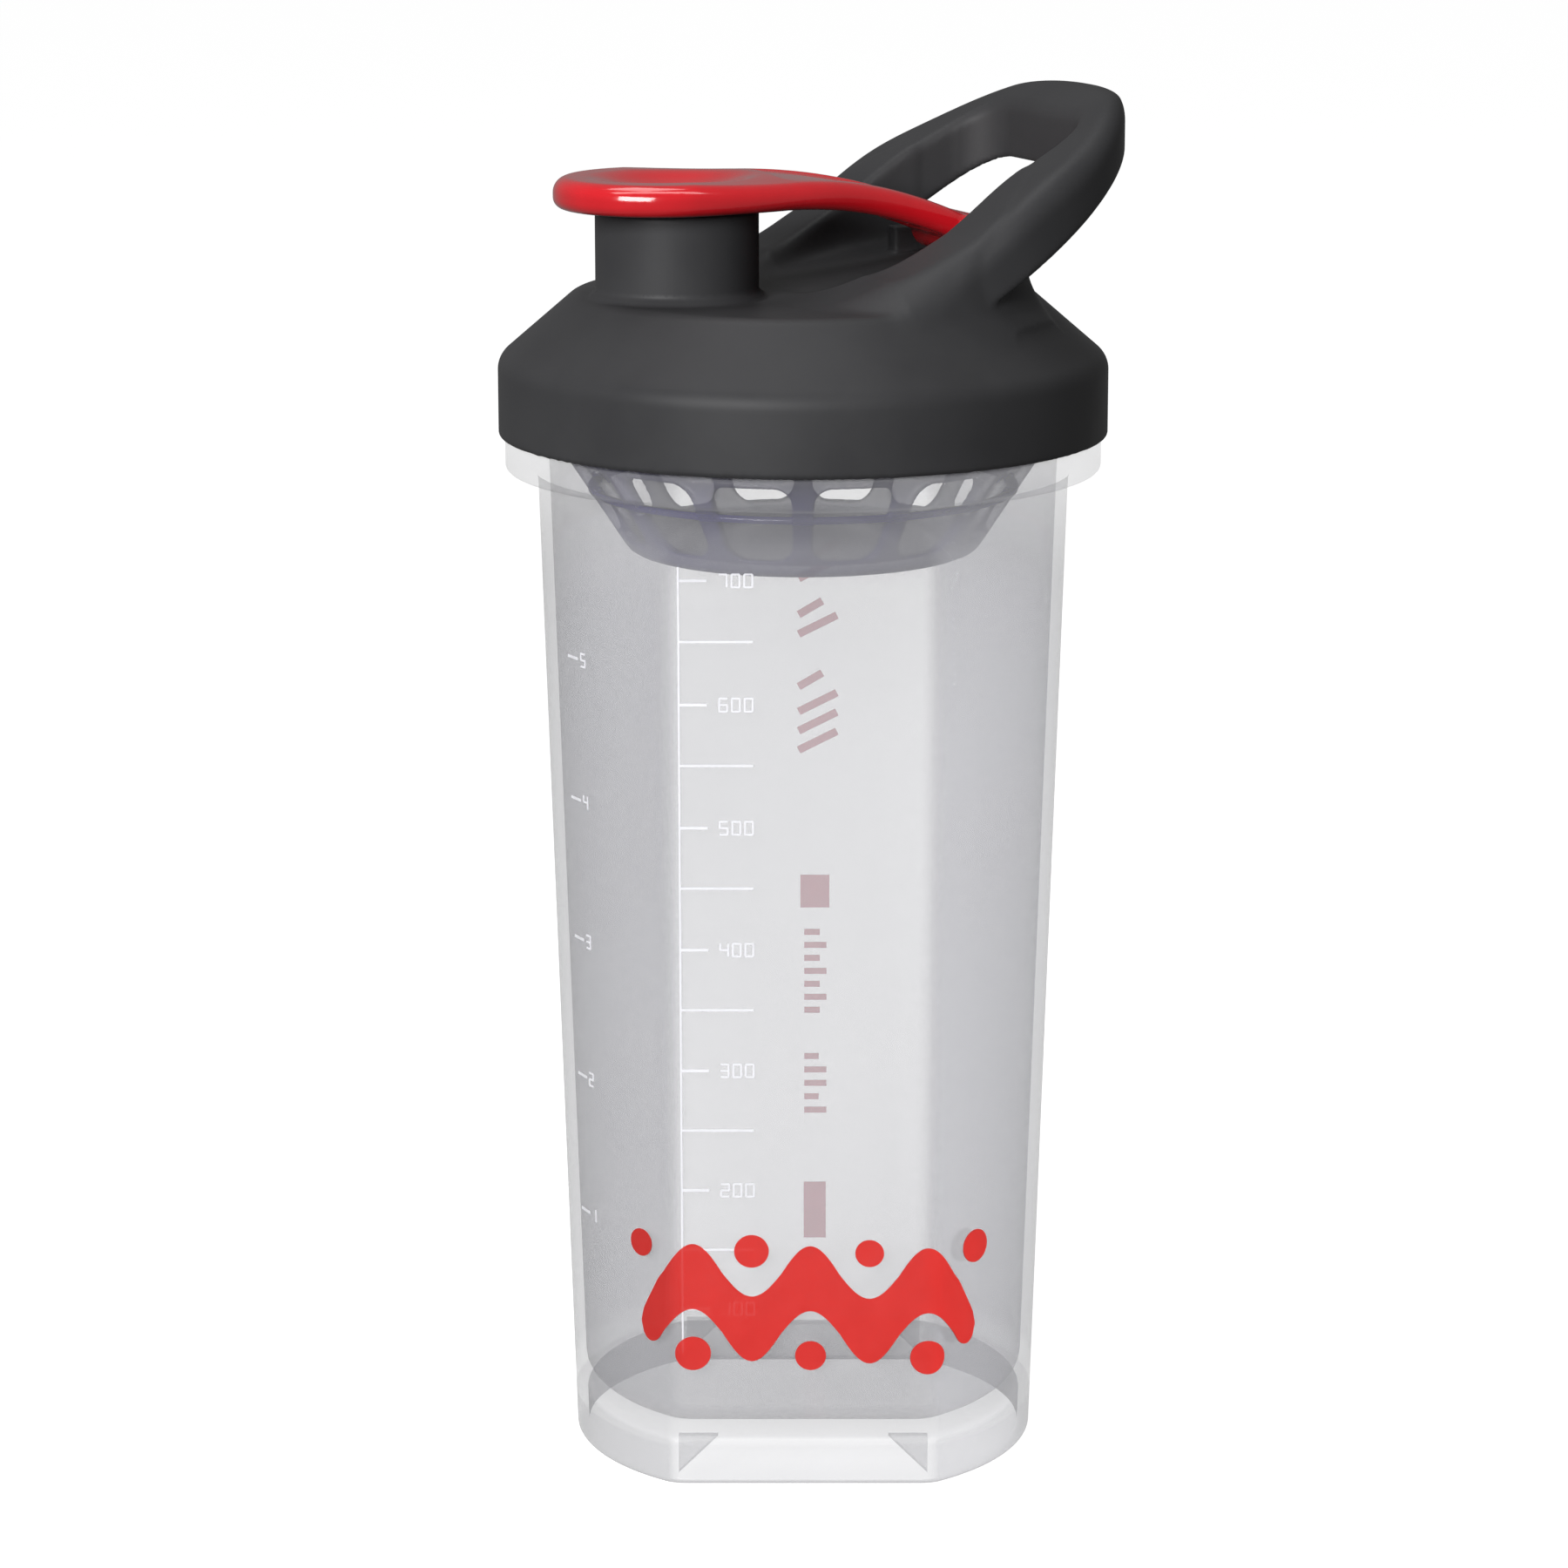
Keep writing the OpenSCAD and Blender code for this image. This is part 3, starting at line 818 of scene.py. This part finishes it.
def make_wave_print():
    """A bold red wave with drops, a plain decoration low on the front."""
    periods, start, length = 3, -28.5, 59.5
    t = np.linspace(0, 1, 121)
    wave = np.cos(2 * math.pi * periods * t)
    ends = np.sqrt(np.clip(np.minimum(t, 1 - t) * 16, 0.001, 1))
    middle = 33.3 - 1.2 * t - 4.6 * wave
    half = (5.3 + 0.5 * np.abs(wave)) * ends
    spread = np.linspace(-1, 1, 5)
    height = middle[:, None] + half[:, None] * spread[None, :]
    across = np.broadcast_to((start + length * t)[:, None], height.shape)
    patches = [np.stack([across, height], axis=-1)]
    pitch = length / periods
    for i in range(periods + 1):
        patches.append(disc((start + pitch * i, 42.6 - 0.4 * i), 2.9 if i % 2 else 2.4))
        if i < periods:
            patches.append(disc((start + pitch * (i + 0.5), 23.9 - 0.4 * i), 2.6 if i % 2 else 3.0))
    print_piece("wave_print", patches, 1, "red_ink")


def make_back_print():
    """Slanted bars and blocks up the back flat, seen faintly through the bottle."""
    patches = []
    short = (126.5, 139.5)
    for z in (115.0, 118.5, 122.0, 126.5, 136.0, 139.5, 146.0, 149.0):
        end = 3.4 if z in short else 6.0
        patches.append(straight((-0.8, z - 2.2), (end, z + 2.4 * (end + 0.8) / 6.8 - 1.2), 0.7))
    patches.append(straight((2.1, 84.0), (2.1, 90.0), 2.6))
    for i in range(7):
        z = 79.5 - 2.4 * i
        patches.append(straight((0.2, z), (4.2 if i % 2 else 3.0, z), 0.55))
    for i in range(5):
        z = 56.5 - 2.5 * i
        patches.append(straight((0.2, z), (4.2 if i % 3 else 2.8, z), 0.55))
    patches.append(straight((2.1, 22.5), (2.1, 33.0), 2.0))
    print_piece("back_print", patches, -1, "pale_ink")


DIGIT_STROKES = {
    "0": "abcdef", "1": "bc", "2": "abged", "3": "abgcd",
    "4": "fgbc", "5": "afgcd", "6": "afgedc", "7": "abc",
}
STROKE_ENDS = {
    "a": ((0, 2), (1, 2)), "b": ((1, 2), (1, 1)), "c": ((1, 1), (1, 0)), "d": ((0, 0), (1, 0)),
    "e": ((0, 0), (0, 1)), "f": ((0, 1), (0, 2)), "g": ((0, 1), (1, 1)),
}


def number_patches(number, left, middle):
    """Plain stroke digits of a number, written to the right of left."""
    wide, tall, half = 1.3, 1.1, 0.14
    patches = []
    for place, digit in enumerate(str(number)):
        start = left + place * wide * 1.6
        for stroke in DIGIT_STROKES[digit]:
            ends = [(start + x * wide, middle - tall + y * tall) for x, y in STROKE_ENDS[stroke]]
            patches.append(straight(*ends, half))
    return patches


def make_scale():
    """The volume scale on the front flat and the plain one on the round wall beside it."""
    left, rise = -20.3, 21.15
    patches = [straight((left, 24), (left, 160), 0.14, 30)]
    for i in range(1, 8):
        z = 31.9 + rise * (i - 1) * (1 - 0.0015 * (i - 1))
        patches.append(straight((left, z), (left + 4.6, z), 0.22))
        patches += number_patches(100 * i, left + 6.6, z)
        if i < 7:
            patches.append(straight((left, z + rise / 2), (left + 12.1, z + rise / 2), 0.18))
    print_piece("scale_marks", patches, 1, "white_ink", 0.1)
    patches = []
    for i in range(5):
        z = 44 + 24.4 * i
        patches.append(straight((-47, z), (-43.5, z), 0.22))
        patches += number_patches(i + 1, -42.5, z)
    print_piece("side_scale_marks", patches, 1, "white_ink", 0.1)


# ---------------------------------------------------------------- basket
def basket_field(x, y, z):
    """The mixer basket: a windowed cone with a flat floor and a collar."""
    r = np.hypot(x, y)
    angle = np.arctan2(y, x)
    outline = [(0, BASKET_FLOOR), (27.2, BASKET_FLOOR)]
    outline += arc(27.6, BASKET_FLOOR + 3.2, 3.2, -80, -32, 4)
    outline += [CONE_HIGH, (COLLAR_RADIUS, COLLAR_Z), (COLLAR_RADIUS, LIP_Z), (LIP_RADIUS, LIP_Z)]
    outline += [(LIP_RADIUS, BASKET_TOP), (COLLAR_BORE, BASKET_TOP), (COLLAR_BORE, COLLAR_Z)]
    outline += [(CONE_HIGH[0] - 1.8, CONE_HIGH[1]), (CONE_LOW[0] - 2.6, CONE_LOW[1] + 0.6)]
    outline += [(26.8, BASKET_FLOOR_TOP), (0, BASKET_FLOOR_TOP)]
    solid = polygon_field(r, z, outline)
    pitch = 2 * math.pi / WINDOWS
    start = FLAT_TURN - math.pi / 2 + pitch / 2
    local = (angle - start + pitch / 2) % pitch - pitch / 2
    half = (pitch - BAR_ANGLE) / 2 * r
    side = np.abs(local) * r - half
    upright = np.abs(z - (WINDOW_LOW + WINDOW_HIGH) / 2) - (WINDOW_HIGH - WINDOW_LOW) / 2
    window = round_max(side, upright, WINDOW_CORNER)
    window = np.maximum(window, 25 - r)
    solid = round_max(solid, -window, 0.3)
    flare = (CONE_HIGH[0] - CONE_LOW[0]) / (CONE_HIGH[1] - CONE_LOW[1])
    hoop_r = CONE_LOW[0] + flare * (HOOP_Z - CONE_LOW[1])
    hoop = round_max(np.abs(r - hoop_r + 1.0) - 0.8, np.abs(z - HOOP_Z) - 0.6, 0.4)
    return smooth_min(solid, hoop, 0.2)


def make_basket():
    """Meshes the basket's field."""
    step = 0.5
    points, quads = field_points(basket_field, BASKET_LOW, BASKET_HIGH, step)
    piece = new_piece("basket", points, quads, "basket", MATERIALS["smoke"])
    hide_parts("mixer_basket")


# ---------------------------------------------------------------- stage
def make_floor():
    """A wide round floor, in metres, which the object neither mirrors nor is lit by."""
    radius, columns = 14.0, 96
    mesh = bmesh.new()
    rings = [
        [mesh.verts.new((r * math.cos(a), r * math.sin(a), -0.0002))
         for a in np.linspace(0, 2 * math.pi, columns, endpoint=False)]
        for r in (0.3, 1.0, radius)
    ]
    for inner, outer in zip(rings, rings[1:]):
        for j in range(columns):
            k = (j + 1) % columns
            mesh.faces.new((inner[j], outer[j], outer[k], inner[k]))
    mesh.faces.new(rings[0])
    data = bpy.data.meshes.new("floor")
    mesh.to_mesh(data)
    mesh.free()
    floor = bpy.data.objects.new("floor", data)
    bpy.context.scene.collection.objects.link(floor)
    data.materials.append(floor_paint())
    floor.visible_diffuse = False
    floor.visible_glossy = False


def aim(thing, place, target):
    """Puts a lamp or camera at place, looking at target."""
    thing.location = place
    thing.rotation_euler = (Vector(target) - Vector(place)).to_track_quat("-Z", "Y").to_euler()


def make_lamp(name, place, size, power):
    """A rectangular lamp aimed at the bottle."""
    data = bpy.data.lights.new(name, "AREA")
    data.shape = "RECTANGLE"
    data.size, data.size_y = size
    data.energy = power
    lamp = bpy.data.objects.new(name, data)
    bpy.context.scene.collection.objects.link(lamp)
    aim(lamp, place, (0, 0, LAMP_TARGET_Z))
    return lamp


def round_front(side, toward, height):
    """A place given from the camera's side: right, towards it, and up."""
    c, s = math.cos(FLAT_TURN), math.sin(FLAT_TURN)
    return (side * c + toward * s, side * s - toward * c, height)


def light_only(lamp, names):
    """Keeps a lamp's light to the named pieces."""
    pieces = bpy.data.collections.new(lamp.name + "_pieces")
    for name in names:
        pieces.objects.link(bpy.data.objects[name])
    lamp.light_linking.receiver_collection = pieces


def make_lights():
    """A white surround that lights the object only faintly, and four soft lamps."""
    world = bpy.data.worlds.new("studio")
    world.use_nodes = True
    tree = world.node_tree
    path = tree.nodes.new("ShaderNodeLightPath")
    seen = tree.nodes.new("ShaderNodeMapRange")
    seen.inputs["To Min"].default_value = AMBIENT
    seen.inputs["To Max"].default_value = 1.0
    tree.links.new(path.outputs["Is Camera Ray"], seen.inputs["Value"])
    level = tree.nodes.new("ShaderNodeMath")
    level.operation = "MULTIPLY_ADD"
    level.inputs[1].default_value = MIRRORED
    tree.links.new(path.outputs["Is Glossy Ray"], level.inputs[0])
    tree.links.new(seen.outputs["Result"], level.inputs[2])
    tree.links.new(level.outputs["Value"], tree.nodes["Background"].inputs["Strength"])
    tree.nodes["Background"].inputs["Color"].default_value = (1, 1, 1, 1)
    bpy.context.scene.world = world
    make_lamp("key", round_front(-0.5, 1.05, 0.62), (0.8, 0.6), 21)
    make_lamp("top", round_front(-0.15, -0.15, 1.1), (0.5, 0.5), 2.5)
    side = make_lamp("side", round_front(1.1, 0.5, 0.06), (0.22, 0.45), 23)
    side.visible_glossy = False
    light_only(side, ("bottle", "gussets", "neck_thread", "back_print", "wave_print"))
    strip = make_lamp("strip", round_front(0, 0.35, 1.2), (1.6, 0.25), 5)
    light_only(strip, ("flip_cap_shell",))


def make_camera():
    """The view square to the front flat, looking down a little."""
    tilt = math.radians(CAMERA_TILT)
    distance, target = 0.8677, (0, 0, 0.115)
    data = bpy.data.cameras.new("camera")
    data.lens, data.sensor_width = 116.0, 36.0
    data.shift_x = -0.0122
    camera = bpy.data.objects.new("camera", data)
    bpy.context.scene.collection.objects.link(camera)
    x, y, _ = round_front(0, distance * math.cos(tilt), 0)
    aim(camera, (x, y, target[2] + distance * math.sin(tilt)), target)
    bpy.context.scene.camera = camera


def dress_cad_nodes():
    """Gives the CAD nodes that stay their materials."""
    for node, material in (("lid_gasket", "rubber"), ("hinge_pin", "steel")):
        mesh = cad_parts[node].data
        for i in range(len(mesh.materials)):
            mesh.materials[i] = MATERIALS[material]


# ---------------------------------------------------------------- the scene
make_camera()
make_floor()
make_bottle()
make_gussets()
make_threads()
make_wave_print()
make_back_print()
make_scale()
make_basket()
make_lid()
make_cap()
make_plug()
make_lights()
dress_cad_nodes()
bpy.context.scene.view_settings.view_transform = "Standard"
